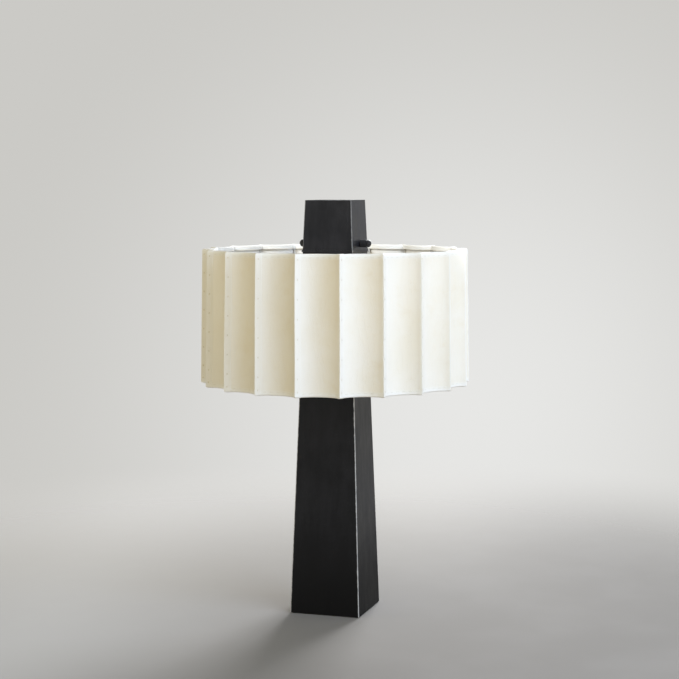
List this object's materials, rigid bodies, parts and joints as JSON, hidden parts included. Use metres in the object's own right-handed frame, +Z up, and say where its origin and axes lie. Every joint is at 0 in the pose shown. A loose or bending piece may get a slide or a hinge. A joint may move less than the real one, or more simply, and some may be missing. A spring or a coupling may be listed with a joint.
{
  "type": "led table lamp",
  "caption": "Table lamp with a tapered square blackened-steel column, a fluted cream parchment drum shade on a wire spider, and a square cap held by thumbscrews.",
  "frame": {"origin": "on the floor under the centre of the column's foot", "axes": "+Z up, -Y out of the column's front face, +X to the right seen from the front"},
  "size_m": [0.4646, 0.4646, 0.711],
  "materials": {
    "blackened_steel": "blackened and waxed, mottled, worn bright along the edges",
    "bare_steel": "plain mill finish",
    "zinc_steel": "zinc plated",
    "cast_iron": "as cast",
    "frame_wire": "white enamelled wire",
    "parchment": "matt cream parchment, slightly cloudy",
    "brass": "satin brass",
    "black_plastic": "moulded, matt",
    "nylon": "natural nylon",
    "white_plastic": "moulded, smooth",
    "opal": "opal diffuser, satin",
    "bulb_metal": "nickel plated thread",
    "rubber": "soft black rubber",
    "felt": "pressed wool felt"
  },
  "bodies": {
    "column": {"column_shell": "blackened_steel", "column_top_plate": "blackened_steel", "cap_post": "blackened_steel", "base_plate": "bare_steel", "base_lugs": "bare_steel", "base_screws": "zinc_steel", "felt_pad": "felt", "ballast_block": "cast_iron", "ballast_washers": "zinc_steel", "ballast_bolts": "zinc_steel", "terminal_block": "black_plastic", "terminal_screw": "zinc_steel", "cord_gland": "rubber", "bracket_screws": "zinc_steel", "bracket_nuts": "zinc_steel", "lead_grommets": "rubber", "nipple_nuts": "brass", "socket_bracket_left": "blackened_steel", "socket_nipple_left": "brass", "socket_cap_left": "brass", "socket_shell_left": "brass", "socket_core_left": "black_plastic", "socket_contacts_left": "brass", "socket_lead_left": "rubber", "socket_bracket_right": "blackened_steel", "socket_nipple_right": "brass", "socket_cap_right": "brass", "socket_shell_right": "brass", "socket_core_right": "black_plastic", "socket_contacts_right": "brass", "socket_lead_right": "rubber"},
    "shade": {"hub_ring": "blackened_steel", "spider_arms": "frame_wire", "top_ring": "frame_wire", "bottom_ring": "frame_wire", "rib_wires": "frame_wire", "shade_panels": "parchment"},
    "cap": {"cap_shell": "blackened_steel", "cap_top_plate": "blackened_steel", "thumbscrew_bosses": "bare_steel"},
    "thumbscrew_pad_left": {"thumbscrew_pad_left": "nylon"},
    "thumbscrew_left": {"thumbscrew_left": "blackened_steel"},
    "switch_key_left": {"socket_key_left": "black_plastic"},
    "bulb_left": {"bulb_cap_left": "bulb_metal", "bulb_body_left": "white_plastic", "bulb_globe_left": "opal"},
    "thumbscrew_pad_right": {"thumbscrew_pad_right": "nylon"},
    "thumbscrew_right": {"thumbscrew_right": "blackened_steel"},
    "switch_key_right": {"socket_key_right": "black_plastic"},
    "bulb_right": {"bulb_cap_right": "bulb_metal", "bulb_body_right": "white_plastic", "bulb_globe_right": "opal"}
  },
  "joints": [
    {"name": "shade_lift", "type": "slide", "parent": "column", "child": "shade", "axis": [0, 0, 1], "range_m": [0, 0.28]},
    {"name": "cap_lift", "type": "slide", "parent": "shade", "child": "cap", "axis": [0, 0, 1], "range_m": [0, 0.06]},
    {"name": "thumbscrew_pad_slide_left", "type": "slide", "parent": "cap", "child": "thumbscrew_pad_left", "axis": [-1, 0, 0], "range_m": [0, 0.0032]},
    {"name": "thumbscrew_turn_left", "type": "hinge", "parent": "thumbscrew_pad_left", "child": "thumbscrew_left", "pos_m": [-0.045, 0, 0.6368], "axis": [-1, 0, 0], "range_deg": [0, 1080]},
    {"name": "switch_key_turn_left", "type": "hinge", "parent": "column", "child": "switch_key_left", "pos_m": [-0.08845, 0, 0.4624], "axis": [-0.9994, 0, 0.0338], "continuous": true},
    {"name": "bulb_draw_left", "type": "slide", "parent": "column", "child": "bulb_left", "axis": [0.0338, 0, 0.9994], "range_m": [0, 0.03]},
    {"name": "thumbscrew_pad_slide_right", "type": "slide", "parent": "cap", "child": "thumbscrew_pad_right", "axis": [1, 0, 0], "range_m": [0, 0.0032]},
    {"name": "thumbscrew_turn_right", "type": "hinge", "parent": "thumbscrew_pad_right", "child": "thumbscrew_right", "pos_m": [0.045, 0, 0.6368], "axis": [1, 0, 0], "range_deg": [0, 1080]},
    {"name": "switch_key_turn_right", "type": "hinge", "parent": "column", "child": "switch_key_right", "pos_m": [0.08845, 0, 0.4624], "axis": [0.9994, 0, 0.0338], "continuous": true},
    {"name": "bulb_draw_right", "type": "slide", "parent": "column", "child": "bulb_right", "axis": [-0.0338, 0, 0.9994], "range_m": [0, 0.03]}
  ],
  "couplings": [
    {"joint": "thumbscrew_pad_slide_left", "follows": "thumbscrew_turn_left", "m_per_rad": 0.00015915},
    {"joint": "thumbscrew_pad_slide_right", "follows": "thumbscrew_turn_right", "m_per_rad": 0.00015915}
  ]
}
